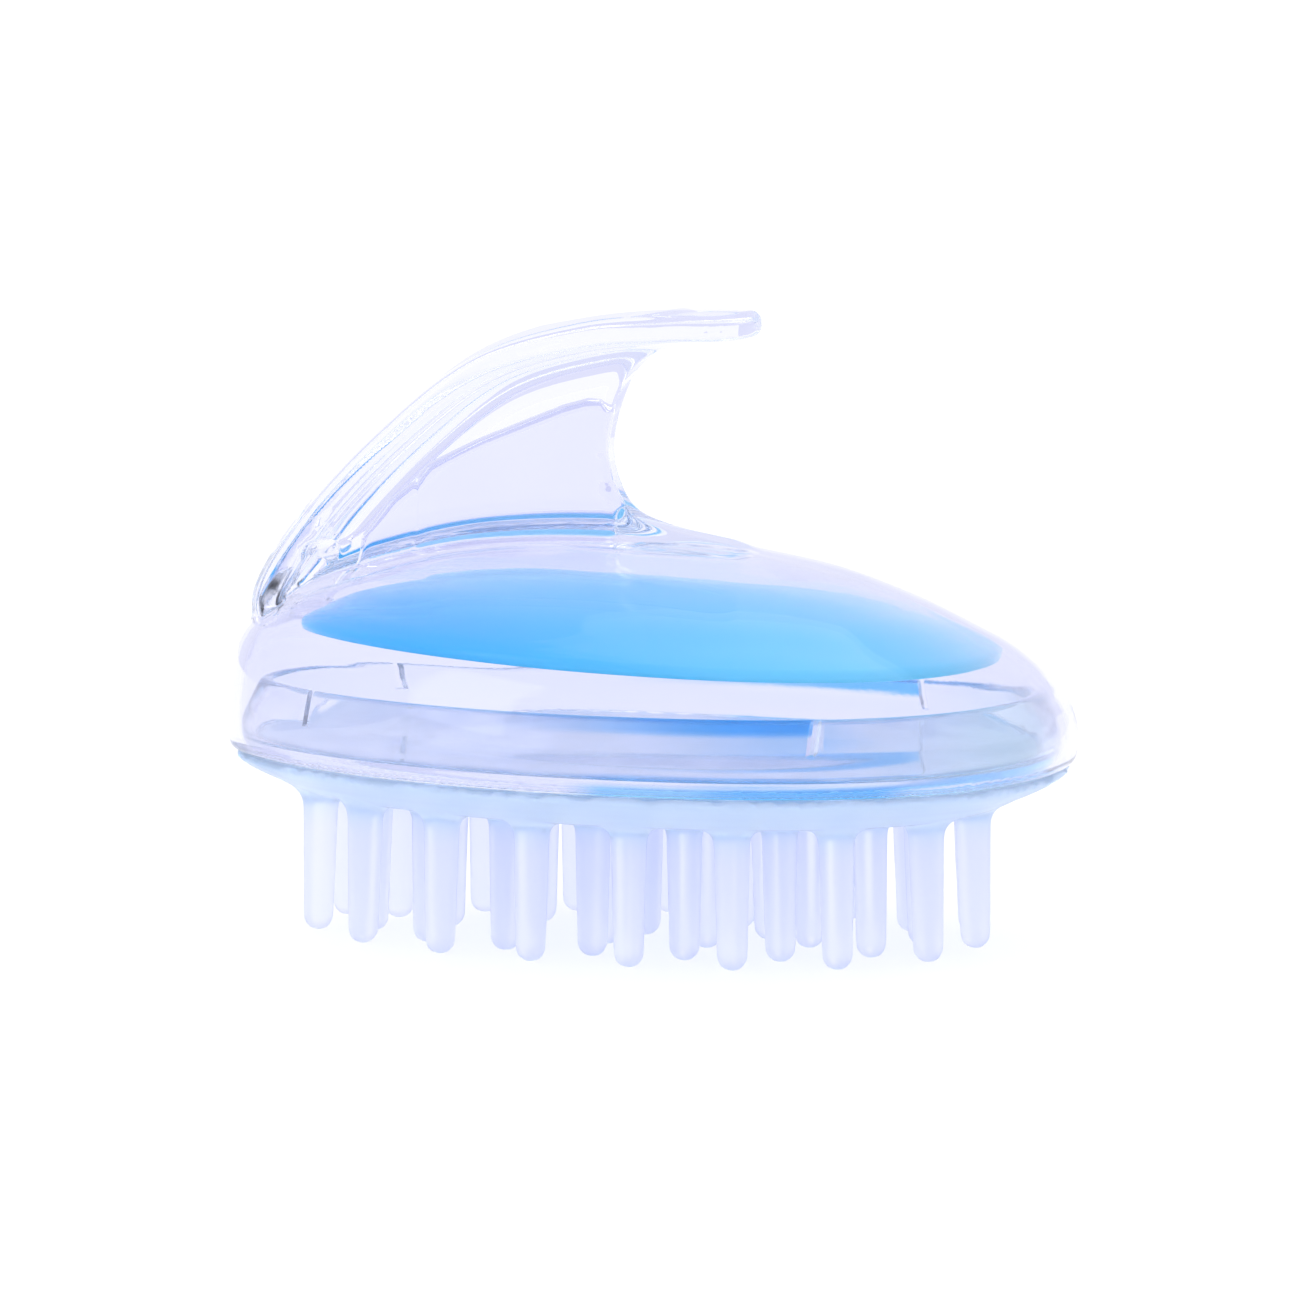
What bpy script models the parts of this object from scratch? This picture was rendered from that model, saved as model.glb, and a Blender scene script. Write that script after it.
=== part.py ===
"""Scalp massager brush: a clear shell with a fin-shaped handle over a bed of soft bristles.

Run with: blender --background --python part.py
Metres, +Z up, +X towards the open tip of the handle. The origin is under the middle of the
outline, on the plane of the bristle tips. The design is symmetric about the XZ plane.
"""

import math

import bmesh
import bpy
from mathutils import Vector

MM = 0.001

# Plan outline of the shell: a superellipse that is wider and squarer towards the front (+X).
HALF_LENGTH = 47.5 * MM
HALF_WIDTH = 32.8 * MM
FRONT_POWER = 2.2
REAR_POWER = 1.9
FRONT_SWELL = 0.15
ROUND_STEPS = 48

# Shell
WALL = 1.6 * MM
SKIRT_BOTTOM = 20.0 * MM
SHELL_REAR_RISE = 2.6 * MM  # how much the rear shoulder stands above the mean, and the front below
PLATE_REAR_RISE = 1.6 * MM  # the same for the colour plate
RISE_STARTS = 20.0 * MM
RISE_ENDS = 31.0 * MM
CLEARANCE = 0.3 * MM  # between pieces that touch or snap together

# Handle: a crowned finger plate on a thin web
PLATE_THICKNESS = 3.0 * MM
PLATE_CROWN = 0.15 * MM
PLATE_FOOT_CROWN = 2.2 * MM  # the foot wraps round the dome's rear
PLATE_CROWN_FADES = 0.55  # share of the plate's length over which that wrap dies away
PLATE_FOOT_HALF_WIDTH = 9.5 * MM
PLATE_TIP_HALF_WIDTH = 6.4 * MM
PLATE_TIP_ROUND = 5.5 * MM
PLATE_STEPS = 26
PLATE_STEPS_ACROSS = 6
WEB_THICKNESS = 5.5 * MM
CORE_THICKNESS = 2.4 * MM
CORD_HOLE_RADIUS = 1.2 * MM
CORD_HOLE_X = -35.4 * MM
CORD_HOLE_Z = 42.0 * MM

# Tray that closes the shell from below
TRAY_FLOOR_TOP = 21.2 * MM
TRAY_FLOOR_UNDER = 19.6 * MM
TRAY_WALL_TOP = 27.7 * MM
TRAY_WALL = 1.4 * MM
TRAY_WALL_LEAN = 2.3 * MM  # how far the wall's top leans in, to follow the dome
TRAY_WALL_BEND = 23.4 * MM
TONGUE_SLOT = (0.8 * MM, 5.0 * MM, 4.0 * MM)
TONGUE_SLOTS_X = (-33.0 * MM, 25.4 * MM)

# Bristle pad and bristles
PAD_UNDER = 15.2 * MM
PAD_TOP = 19.3 * MM
PAD_RIM_INNER = 45.9 * MM  # radii before the round forms are drawn out to the oval outline
PAD_RIM_OUTER = 46.9 * MM
BRISTLE_TOP = PAD_UNDER - CLEARANCE
BRISTLE_ROOT_RADIUS = 2.0 * MM
BRISTLE_TIP_RADIUS = 1.65 * MM
BRISTLE_TIP_FLAT = 0.7 * MM
BRISTLE_SPLAY = 0.5 * MM
BRISTLE_SIDES = 12
# Each ring of bristles: how many, how far inside the shell's outline, and where it starts
BRISTLE_RINGS = (
    (17, 10.8 * MM, 0.5),
    (15, 16.6 * MM, 0.5),
    (9, 25.3 * MM, 0.0),
)
CENTRE_BRISTLES = 3
CENTRE_PITCH = 13.8 * MM

CREASE = math.radians(35)


def clear_scene():
    for obj in list(bpy.data.objects):
        bpy.data.objects.remove(obj, do_unlink=True)


def make_collection(name):
    collection = bpy.data.collections.new(name)
    bpy.context.scene.collection.children.link(collection)
    return collection


def make_material(name, color, roughness, transmission=0.0):
    material = bpy.data.materials.new(name)
    material.use_nodes = True
    shader = material.node_tree.nodes["Principled BSDF"]
    shader.inputs["Base Color"].default_value = (*color, 1.0)
    shader.inputs["Roughness"].default_value = roughness
    shader.inputs["Metallic"].default_value = 0.0
    shader.inputs["Transmission Weight"].default_value = transmission
    return material


# --- shape functions -------------------------------------------------------------------------


def signed_power(value, power):
    return math.copysign(abs(value) ** power, value)


def outline(angle, inset=0.0, rear_power=REAR_POWER):
    """Point of the oval outline at a parameter angle, on an oval smaller all round by inset."""
    half_length = HALF_LENGTH - inset
    half_width = HALF_WIDTH - inset
    power = rear_power if math.cos(angle) < 0 else FRONT_POWER
    across = signed_power(math.cos(angle), 2 / power)
    up = signed_power(math.sin(angle), 2 / power)
    return Vector((half_length * across, half_width * up * (1 + FRONT_SWELL * across)))


def smooth_step(value, low, high):
    t = min(1.0, max(0.0, (value - low) / (high - low)))
    return t * t * (3 - 2 * t)


def rear_rise(x, z, amount):
    """Height added at x: the rear shoulder is higher and squarer than the front one."""
    return -amount * x / HALF_LENGTH * smooth_step(z, RISE_STARTS, RISE_ENDS)


def drawn_out(radius, angle, full_radius, inset):
    """Round to oval: the radius keeps its share of the way out to the outline."""
    return outline(angle, inset) * (radius / full_radius)


def stepped_in(radius, angle):
    """Round to oval: near the rim the distance to the outline stays the same all round."""
    flat_radius = HALF_LENGTH - 8 * MM
    if radius >= flat_radius:
        return outline(angle, HALF_LENGTH - radius)
    return outline(angle, 8 * MM) * (radius / flat_radius)


def smooth_path(points, steps):
    """Catmull-Rom curve through 2D points, as evenly numbered samples."""
    padded = [2 * points[0] - points[1], *points, 2 * points[-1] - points[-2]]
    samples = []
    for step in range(steps + 1):
        place = step / steps * (len(points) - 1)
        i = min(int(place), len(points) - 2)
        t = place - i
        a, b, c, d = padded[i : i + 4]
        samples.append(
            0.5 * (2 * b + (c - a) * t + (2 * a - 5 * b + 4 * c - d) * t**2 + (3 * (b - c) + d - a) * t**3)
        )
    return samples


def shell_profile():
    """Radius and height from the crown down to the skirt's lower edge, at mean shoulder height."""
    rows = [
        (0, 44.2),
        (7, 43.95),
        (14, 43.3),
        (22, 41.9),
        (30, 39.4),
        (36, 36.9),
        (40.3, 34.9),
        (43.4, 32.8),
        (45.4, 30.6),
        (46.6, 28.2),
        (47.2, 25.6),
        (47.5, 23.0),
        (47.4, 21.3),
        (47.0, 20.0),
    ]
    return [Vector((r * MM, z * MM)) for r, z in rows]


def inner_profile(profile, distance):
    """The profile moved inwards by distance along its normals."""
    moved = []
    for i, point in enumerate(profile):
        before = profile[max(i - 1, 0)]
        after = profile[min(i + 1, len(profile) - 1)]
        along = (after - before).normalized()
        normal = Vector((-along.y, along.x)) if i else Vector((0.0, 1.0))
        moved.append(point - normal * distance)
    moved[0].x = 0.0
    return moved


def height_at(profile, radius):
    for a, b in zip(profile, profile[1:]):
        if a.x <= radius <= b.x:
            return a.y + (b.y - a.y) * (radius - a.x) / (b.x - a.x)
    return profile[-1].y


# --- mesh helpers ----------------------------------------------------------------------------


def new_object(name, mesh, collection, material=None):
    obj = bpy.data.objects.new(name, mesh)
    collection.objects.link(obj)
    if material:
        mesh.materials.clear()
        mesh.materials.append(material)
    return obj


def evaluated_mesh(obj):
    graph = bpy.context.evaluated_depsgraph_get()
    graph.update()
    return bpy.data.meshes.new_from_object(obj.evaluated_get(graph))


def tidy_mesh(mesh):
    """Weld, drop leftovers, make the faces point out and set the shading."""
    bm = bmesh.new()
    bm.from_mesh(mesh)
    bmesh.ops.remove_doubles(bm, verts=bm.verts, dist=0.002 * MM)
    bmesh.ops.dissolve_degenerate(bm, edges=bm.edges, dist=0.001 * MM)
    bmesh.ops.recalc_face_normals(bm, faces=bm.faces)
    bm.to_mesh(mesh)
    bm.free()
    mesh.shade_smooth()
    mesh.set_sharp_from_angle(angle=CREASE)


def turned(name, profile, place, collection, steps=ROUND_STEPS, rise=0.0):
    """A profile turned with Screw, then drawn out: place(radius, angle) gives each point's x, y."""
    mesh = bpy.data.meshes.new(name)
    edges = [(i, i + 1) for i in range(len(profile) - 1)]
    mesh.from_pydata([(p.x, 0.0, p.y) for p in profile], edges, [])
    obj = new_object(name, mesh, collection)
    screw = obj.modifiers.new("turn", "SCREW")
    screw.steps = steps
    screw.render_steps = steps
    screw.use_merge_vertices = True
    screw.merge_threshold = 0.001 * MM
    solid = evaluated_mesh(obj)
    bpy.data.objects.remove(obj, do_unlink=True)
    for vertex in solid.vertices:
        radius = math.hypot(vertex.co.x, vertex.co.y)
        angle = math.atan2(vertex.co.y, vertex.co.x)
        x, y = place(radius, angle)
        z = vertex.co.z
        vertex.co = (x, y, z + rear_rise(x, z, rise))
    tidy_mesh(solid)
    return new_object(name, solid, collection)


def boolean(obj, cutter, operation):
    """Apply an exact Boolean with a cutter, which stays as a wire guide."""
    cutter.display_type = "WIRE"
    cutter.hide_render = True
    modifier = obj.modifiers.new(operation.lower(), "BOOLEAN")
    modifier.operation = operation
    modifier.solver = "EXACT"
    modifier.object = cutter
    result = evaluated_mesh(obj)
    obj.modifiers.clear()
    obj.data = result
    tidy_mesh(obj.data)


def upright_slab(name, points, thickness, collection):
    """A flat outline in the XZ plane, filled and thickened along Y."""
    curve = bpy.data.curves.new(name, "CURVE")
    curve.dimensions = "2D"
    curve.fill_mode = "BOTH"
    curve.extrude = thickness / 2
    spline = curve.splines.new("POLY")
    spline.points.add(len(points) - 1)
    for target, point in zip(spline.points, points):
        target.co = (point.x, point.y, 0.0, 1.0)
    spline.use_cyclic_u = True
    drawn = new_object(name, curve, collection)
    drawn.rotation_euler = (math.radians(90), 0, 0)
    mesh = evaluated_mesh(drawn)
    mesh.transform(drawn.matrix_basis)
    bpy.data.objects.remove(drawn, do_unlink=True)
    tidy_mesh(mesh)
    return new_object(name, mesh, collection)


def box(name, size, centre, collection):
    bm = bmesh.new()
    bmesh.ops.create_cube(bm, size=1.0)
    for vertex in bm.verts:
        vertex.co = Vector((vertex.co.x * size[0], vertex.co.y * size[1], vertex.co.z * size[2])) + centre
    mesh = bpy.data.meshes.new(name)
    bm.to_mesh(mesh)
    bm.free()
    return new_object(name, mesh, collection)


def rod(name, radius, start, end, collection, sides=16):
    """A straight round rod from start to end."""
    bm = bmesh.new()
    along = end - start
    bmesh.ops.create_cone(
        bm, cap_ends=True, segments=sides, radius1=radius, radius2=radius, depth=along.length
    )
    turn = Vector((0, 0, 1)).rotation_difference(along)
    for vertex in bm.verts:
        vertex.co = turn @ vertex.co + (start + end) / 2
    mesh = bpy.data.meshes.new(name)
    bm.to_mesh(mesh)
    bm.free()
    return new_object(name, mesh, collection)


# --- sub-parts -------------------------------------------------------------------------------


def handle_line():
    """Top centre line of the finger plate, in x and z, from inside the dome to the free tip."""
    rows = [
        (-42.5, 31.4),
        (-43.2, 37.6),
        (-37.6, 46.2),
        (-28.4, 55.6),
        (-17.6, 63.9),
        (-6.0, 67.7),
        (4.5, 68.8),
        (12.6, 68.9),
    ]
    return smooth_path([Vector((x * MM, z * MM)) for x, z in rows], PLATE_STEPS)


def plate_half_width(share, to_tip):
    """Half the plate's width: it narrows from foot to tip, and the tip is rounded."""
    width = PLATE_FOOT_HALF_WIDTH + (PLATE_TIP_HALF_WIDTH - PLATE_FOOT_HALF_WIDTH) * share**1.4
    if to_tip < PLATE_TIP_ROUND:
        away = 1 - to_tip / PLATE_TIP_ROUND
        width -= PLATE_TIP_ROUND * 0.8 * (1 - math.sqrt(max(0.0, 1 - away**2)))
    return width


def plate_crown(share):
    """How much higher the plate is along its middle than at its sides."""
    wrap = max(0.0, 1 - share / PLATE_CROWN_FADES) ** 2
    return PLATE_CROWN + (PLATE_FOOT_CROWN - PLATE_CROWN) * wrap


def finger_plate(collection):
    """The curved plate that the fingers hook over: a bent grid, thickened and rounded."""
    line = handle_line()
    lengths = [0.0]
    for a, b in zip(line, line[1:]):
        lengths.append(lengths[-1] + (b - a).length)
    total = lengths[-1]
    bm = bmesh.new()
    bmesh.ops.create_grid(bm, x_segments=PLATE_STEPS, y_segments=PLATE_STEPS_ACROSS, size=1.0)
    for vertex in bm.verts:
        i = round((vertex.co.x + 1) / 2 * PLATE_STEPS)
        side = vertex.co.y
        along = (line[min(i + 1, PLATE_STEPS)] - line[max(i - 1, 0)]).normalized()
        out = Vector((-along.y, along.x))
        width = plate_half_width(lengths[i] / total, total - lengths[i])
        spot = line[i] - out * plate_crown(lengths[i] / total) * side**2
        vertex.co = (spot.x, side * width, spot.y)
    mesh = bpy.data.meshes.new("finger_plate")
    bm.to_mesh(mesh)
    bm.free()
    obj = new_object("finger_plate", mesh, collection)
    solidify = obj.modifiers.new("thickness", "SOLIDIFY")
    solidify.thickness = PLATE_THICKNESS
    solidify.offset = -1.0
    bevel = obj.modifiers.new("round", "BEVEL")
    bevel.width = 0.7 * MM
    bevel.segments = 1
    bevel.limit_method = "ANGLE"
    bevel.angle_limit = math.radians(60)
    solid = evaluated_mesh(obj)
    bpy.data.objects.remove(obj, do_unlink=True)
    tidy_mesh(solid)
    return new_object("finger_plate_form", solid, collection)


def web_outline():
    """The web between dome and plate: its front edge is a hollow curve for the fingers."""
    top = [p - Vector((0.0, 1.2 * MM)) for p in handle_line()[2:18]]
    front_rows = [(2.6, 66.6), (-1.7, 61.8), (-4.1, 53.8), (-2.1, 47.4), (2.5, 44.3), (8.6, 42.2)]
    front = smooth_path([Vector((x * MM, z * MM)) for x, z in front_rows], 16)
    base = [Vector((6 * MM, 39 * MM)), Vector((-38 * MM, 35 * MM))]
    return top + front + base


def core_outline():
    """The hollow inside the web, open to the space under the dome."""
    rows = [
        (-26.0, 36.0),
        (-26.0, 49.8),
        (-24.8, 51.2),
        (-6.8, 58.4),
        (-5.4, 57.6),
        (-5.7, 53.0),
        (-5.0, 49.4),
        (-3.4, 46.8),
        (-3.4, 36.0),
    ]
    return [Vector((x * MM, z * MM)) for x, z in rows]


def make_top_shell(parts, cutters, material):
    outer = shell_profile()
    inner = inner_profile(outer, WALL)
    inner[-1].y = SKIRT_BOTTOM - 5 * MM
    floor = Vector((0.0, SKIRT_BOTTOM))
    shell = turned(
        "top_shell",
        [*outer, floor],
        lambda r, a: drawn_out(r, a, HALF_LENGTH, 0.0),
        parts,
        rise=SHELL_REAR_RISE,
    )
    hollow = turned(
        "cut_dome_hollow",
        [*inner, Vector((0.0, inner[-1].y))],
        lambda r, a: drawn_out(r, a, HALF_LENGTH - WALL, WALL),
        cutters,
        rise=SHELL_REAR_RISE,
    )
    boolean(shell, finger_plate(cutters), "UNION")
    boolean(shell, upright_slab("web_form", web_outline(), WEB_THICKNESS, cutters), "UNION")
    boolean(shell, hollow, "DIFFERENCE")
    boolean(shell, upright_slab("cut_web_core", core_outline(), CORE_THICKNESS, cutters), "DIFFERENCE")
    hole_end = Vector((CORD_HOLE_X, 10 * MM, CORD_HOLE_Z))
    hole = rod("cut_cord_hole", CORD_HOLE_RADIUS, hole_end * Vector((1, -1, 1)), hole_end, cutters)
    boolean(shell, hole, "DIFFERENCE")
    shell.data.materials.clear()
    shell.data.materials.append(material)
    return shell


def plate_profile():
    """Top of the colour plate, then its rim and underside."""
    top = [(0, 40.4), (8, 40.15), (16, 39.3), (24, 37.95), (31, 36.1), (35.8, 34.4), (38.5, 33.05)]
    under = [(38.2, 31.95), (35.3, 33.2), (30.8, 34.8), (24, 36.65), (16, 38), (8, 38.8), (0, 39.05)]
    return [Vector((r * MM, z * MM)) for r, z in top + under]


def make_colour_plate(parts, material):
    plate = turned(
        "colour_plate",
        plate_profile(),
        lambda r, a: drawn_out(r, a, HALF_LENGTH, 0.0),
        parts,
        rise=PLATE_REAR_RISE,
    )
    plate.data.materials.append(material)
    return plate


def make_base_tray(parts, cutters, material):
    """The tray that closes the shell: a floor over the pad and a wall inside the skirt."""
    wall_outer = HALF_LENGTH - WALL - CLEARANCE
    wall_inner = wall_outer - TRAY_WALL
    profile = [
        Vector((0.0, TRAY_FLOOR_TOP)),
        Vector((wall_inner, TRAY_FLOOR_TOP)),
        Vector((wall_inner, TRAY_WALL_BEND)),
        Vector((wall_inner - TRAY_WALL_LEAN, TRAY_WALL_TOP)),
        Vector((wall_outer - TRAY_WALL_LEAN, TRAY_WALL_TOP)),
        Vector((wall_outer, TRAY_WALL_BEND)),
        Vector((wall_outer, TRAY_FLOOR_UNDER)),
        Vector((0.0, TRAY_FLOOR_UNDER)),
    ]
    tray = turned("base_tray", profile, stepped_in, parts)
    for x in TONGUE_SLOTS_X:
        for side in (-1, 1):
            power = REAR_POWER if x < 0 else FRONT_POWER
            y = side * HALF_WIDTH * (1 - abs(x / HALF_LENGTH) ** power) ** (1 / power)
            y *= 1 + FRONT_SWELL * x / HALF_LENGTH
            y -= side * (WALL + CLEARANCE + TRAY_WALL_LEAN)
            centre = Vector((x, y, TRAY_WALL_TOP - TONGUE_SLOT[2] / 2 + 0.5 * MM))
            boolean(tray, box("cut_tongue_slot", TONGUE_SLOT, centre, cutters), "DIFFERENCE")
    tray.data.materials.clear()
    tray.data.materials.append(material)
    return tray


def make_pad(parts, material):
    """The soft pad that carries the bristles: it covers the tray's underside up to the skirt."""
    corner = [(46.8, 19.4), (46.2, 18.8), (45.1, 18.1), (43.6, 17.4), (42.2, 16.8), (41.0, 16.2), (39.6, 15.6)]
    profile = [
        Vector((0.0, PAD_TOP)),
        Vector((PAD_RIM_INNER, PAD_TOP)),
        Vector((PAD_RIM_INNER, SKIRT_BOTTOM - CLEARANCE)),
        Vector((PAD_RIM_OUTER, SKIRT_BOTTOM - CLEARANCE)),
        *[Vector((r * MM, z * MM)) for r, z in corner],
        Vector((37.8 * MM, PAD_UNDER)),
        Vector((0.0, PAD_UNDER)),
    ]
    pad = turned("bristle_pad", profile, stepped_in, parts)
    pad.data.materials.append(material)
    return pad


def ring_places(count, inset, phase):
    """Points spaced evenly along an oval inside the shell's outline, as square at both ends."""
    fine = [outline(math.radians(180 + i / 2), inset, FRONT_POWER) for i in range(721)]
    lengths = [0.0]
    for a, b in zip(fine, fine[1:]):
        lengths.append(lengths[-1] + (b - a).length)
    places = []
    for k in range(count):
        wanted = (k + phase) / count * lengths[-1]
        i = next(j for j in range(720) if lengths[j + 1] >= wanted)
        t = (wanted - lengths[i]) / (lengths[i + 1] - lengths[i])
        places.append(fine[i].lerp(fine[i + 1], t))
    return places


def bristle_places():
    places = []
    for ring in BRISTLE_RINGS:
        places += ring_places(*ring)
    for k in range(CENTRE_BRISTLES):
        places.append(Vector(((k - (CENTRE_BRISTLES - 1) / 2) * CENTRE_PITCH, 0.0)))
    return places


def make_bristle(number, place, parts, material):
    """One tapered bristle with a rounded tip that ends in a small flat."""
    round_top = BRISTLE_TIP_RADIUS
    profile = [
        Vector((0.0, BRISTLE_TOP)),
        Vector((BRISTLE_ROOT_RADIUS, BRISTLE_TOP)),
        Vector((BRISTLE_TIP_RADIUS, round_top)),
        Vector((BRISTLE_TIP_RADIUS * 0.9, round_top * 0.5)),
        Vector((BRISTLE_TIP_FLAT, 0.0)),
        Vector((0.0, 0.0)),
    ]
    lean = Vector((place.x / HALF_LENGTH, place.y / HALF_WIDTH)) * BRISTLE_SPLAY
    name = f"bristle_{number:02d}"
    bristle = turned(
        name,
        profile,
        lambda r, a: (r * math.cos(a), r * math.sin(a)),
        parts,
        steps=BRISTLE_SIDES,
    )
    for vertex in bristle.data.vertices:
        share = 1 - vertex.co.z / BRISTLE_TOP
        vertex.co.x += lean.x * share
        vertex.co.y += lean.y * share
    bristle.location = (place.x, place.y, 0.0)
    bristle.data.materials.append(material)
    return bristle


def main():
    clear_scene()
    parts = make_collection("scalp_massager_brush")
    cutters = make_collection("cutters")
    clear = make_material("clear_polystyrene", (0.93, 0.94, 1.0), 0.03, 1.0)
    blue = make_material("blue_plastic", (0.2, 0.62, 1.0), 0.2, 0.4)
    soft = make_material("milky_elastomer", (0.8, 0.88, 1.0), 0.35, 0.5)
    root = bpy.data.objects.new("brush_root", None)
    parts.objects.link(root)
    pieces = [
        make_top_shell(parts, cutters, clear),
        make_colour_plate(parts, blue),
        make_base_tray(parts, cutters, clear),
        make_pad(parts, soft),
    ]
    for number, place in enumerate(bristle_places(), start=1):
        pieces.append(make_bristle(number, place, parts, soft))
    for piece in pieces:
        piece.parent = root
    for guide in cutters.objects:
        guide.display_type = "WIRE"
        guide.hide_render = True


main()
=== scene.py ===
"""Looks of the scalp massager brush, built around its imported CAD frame.

Shapes are worked out in millimetres as signed fields or turned profiles, and made in metres.
+X points to the open tip of the handle, +Z up. The brush stands on its bristle tips.
"""

import math

import bmesh
import bpy
import numpy as np
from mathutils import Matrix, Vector


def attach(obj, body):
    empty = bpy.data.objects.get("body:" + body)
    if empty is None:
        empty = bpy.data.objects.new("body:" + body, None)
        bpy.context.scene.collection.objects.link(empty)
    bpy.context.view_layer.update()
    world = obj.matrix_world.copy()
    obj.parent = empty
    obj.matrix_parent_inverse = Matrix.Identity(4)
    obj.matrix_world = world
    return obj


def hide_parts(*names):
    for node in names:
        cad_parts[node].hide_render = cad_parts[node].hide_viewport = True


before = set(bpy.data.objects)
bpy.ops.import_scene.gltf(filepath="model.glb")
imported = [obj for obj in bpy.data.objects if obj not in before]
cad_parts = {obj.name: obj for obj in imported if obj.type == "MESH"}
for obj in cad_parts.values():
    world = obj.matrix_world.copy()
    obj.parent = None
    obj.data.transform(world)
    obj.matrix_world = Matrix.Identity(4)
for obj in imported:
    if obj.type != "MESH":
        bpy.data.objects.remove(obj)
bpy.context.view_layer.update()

MM = 0.001

# Camera, in metres and degrees
CAMERA_AZIMUTH = 15.0
CAMERA_ELEVATION = 6.8
CAMERA_DISTANCE = 0.9
CAMERA_AIM = Vector((-0.00012, 0.0, 0.03205))
CAMERA_LENS = 229.6

# Plan outline, as in the CAD (mm)
HALF_LENGTH = 47.5
HALF_WIDTH = 32.8
FRONT_POWER = 2.2
REAR_POWER = 1.9
FRONT_SWELL = 0.15

# Shell and handle (mm)
WALL = 1.6
SKIRT_BOTTOM = 20.0
SHELL_REAR_RISE = 2.6
RISE_STARTS = 20.0
RISE_ENDS = 31.0
PLATE_THICKNESS = 3.0
PLATE_CROWN = 0.15
PLATE_FOOT_CROWN = 2.2
PLATE_CROWN_FADES = 0.55
PLATE_FOOT_HALF_WIDTH = 9.5
PLATE_TIP_HALF_WIDTH = 6.4
PLATE_TIP_ROUND = 5.5
PLATE_EDGE = 1.3
WEB_THICKNESS = 5.5
WEB_EDGE = 1.0
CORE_THICKNESS = 2.4
CORE_EDGE = 1.0
REAR_CORE_THICKNESS = 1.7
REAR_CORE_EDGE = 0.8
CORD_HOLE = (-35.4, 42.0)
CORD_HOLE_RADIUS = 1.2

# Fillets and rounded edges of the shell (mm); behind the web the fillet on the dome gets small
WEB_FILLET = 4.5
FOOT_FILLET = 0.6
BODY_FILLET = 4.0
FOOT_FILLET_ENDS = -40.0
BODY_FILLET_STARTS = -32.0
CORE_FILLET = 0.8
HOLLOW_EDGE = 0.35
CORD_HOLE_EDGE = 0.5
SKIRT_EDGE = 0.4

# Colour plate (mm)
BLUE_REAR_RISE = 1.6

# Tray (mm)
CLEARANCE = 0.3
TRAY_FLOOR_TOP = 21.2
TRAY_FLOOR_UNDER = 19.6
TRAY_FLAT = 30.0
TRAY_WALL_TOP = 27.7
TRAY_WALL = 1.4
TRAY_WALL_LEAN = 2.3
TRAY_WALL_BEND = 23.4
TONGUE_SLOT = (0.8, 5.0, 4.0)
TONGUE_SLOTS_X = (-33.0, 25.4)

# Pad and bristles (mm)
PAD_TOP = 19.3
PAD_UNDER = 15.2
PAD_FLAT = 20.0
PAD_RIM_INNER = 45.9
PAD_RIM_OUTER = 46.9
BRISTLE_FILLET = 1.8
BRISTLE_REACH = 6.0
BRISTLE_ROOT_RADIUS = 2.0
BRISTLE_TIP_RADIUS = 1.65
BRISTLE_SPLAY = 0.5
BRISTLE_RINGS = ((17, 10.8, 0.5), (15, 16.6, 0.5), (9, 25.3, 0.0))
CENTRE_BRISTLES = 3
CENTRE_PITCH = 13.8

# Spacing of the grids that the field meshes are made on (mm)
SHELL_GRID = 0.7
PAD_GRID = 0.6

# Lights, in metres; clear plastic needs many bounces
LIGHT_AIM = Vector((0, 0, 0.03))
LIGHT_BOUNCES = 64


# --- curves and outlines ---------------------------------------------------------------------


def smooth_path(rows, steps):
    """Catmull-Rom curve through 2D points, as an array of samples."""
    points = np.array(rows, float)
    padded = np.vstack([2 * points[0] - points[1], points, 2 * points[-1] - points[-2]])
    place = np.linspace(0, len(points) - 1, steps + 1)
    i = np.minimum(place.astype(int), len(points) - 2)
    t = (place - i)[:, None]
    a, b, c, d = (padded[i + k] for k in range(4))
    return 0.5 * (2 * b + (c - a) * t + (2 * a - 5 * b + 4 * c - d) * t**2 + (3 * (b - c) + d - a) * t**3)


def signed_power(value, power):
    return np.copysign(np.abs(value) ** power, value)


def outline(angle, inset=0.0, rear_power=REAR_POWER):
    """Points of the oval outline at parameter angles, on an oval smaller all round by inset."""
    power = np.where(np.cos(angle) < 0, rear_power, FRONT_POWER)
    across = signed_power(np.cos(angle), 2 / power)
    up = signed_power(np.sin(angle), 2 / power)
    x = (HALF_LENGTH - inset) * across
    y = (HALF_WIDTH - inset) * up * (1 + FRONT_SWELL * across)
    return np.stack([x, y], axis=-1)


def oval_share(x, y, inset=0.0):
    """How far out a point lies on the way from the middle to the oval: 1 on the outline."""
    half_length, half_width = HALF_LENGTH - inset, HALF_WIDTH - inset
    power = np.where(x < 0, REAR_POWER, FRONT_POWER)
    share = np.maximum(np.hypot(x / half_length, y / half_width), 1e-4)
    for _ in range(6):
        swell = 1 + FRONT_SWELL * np.clip(x / (half_length * share), -1, 1)
        total = (np.abs(x) / half_length) ** power + (np.abs(y) / (half_width * swell)) ** power
        share = np.maximum(total ** (1 / power), 1e-4)
    return share


def oval_inset(x, y):
    """How far a point lies inside the outline, right near the rim and roughly so elsewhere."""
    reach = np.hypot(x, y)
    inset = np.zeros(np.broadcast(x, y).shape)
    for _ in range(8):
        inset = np.clip(inset + (1 - oval_share(x, y, inset)) * np.maximum(reach, 8), -6, 14)
    return inset


def smooth_step(value, low, high):
    t = np.clip((value - low) / (high - low), 0, 1)
    return t * t * (3 - 2 * t)


def rear_rise(x, z, amount):
    return -amount * x / HALF_LENGTH * smooth_step(z, RISE_STARTS, RISE_ENDS)


def before_rise(x, z, amount):
    """The height that rear_rise turns into z."""
    low = z + np.zeros(np.broadcast(x, z).shape)
    for _ in range(8):
        low = z - rear_rise(x, low, amount)
    return low


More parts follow.
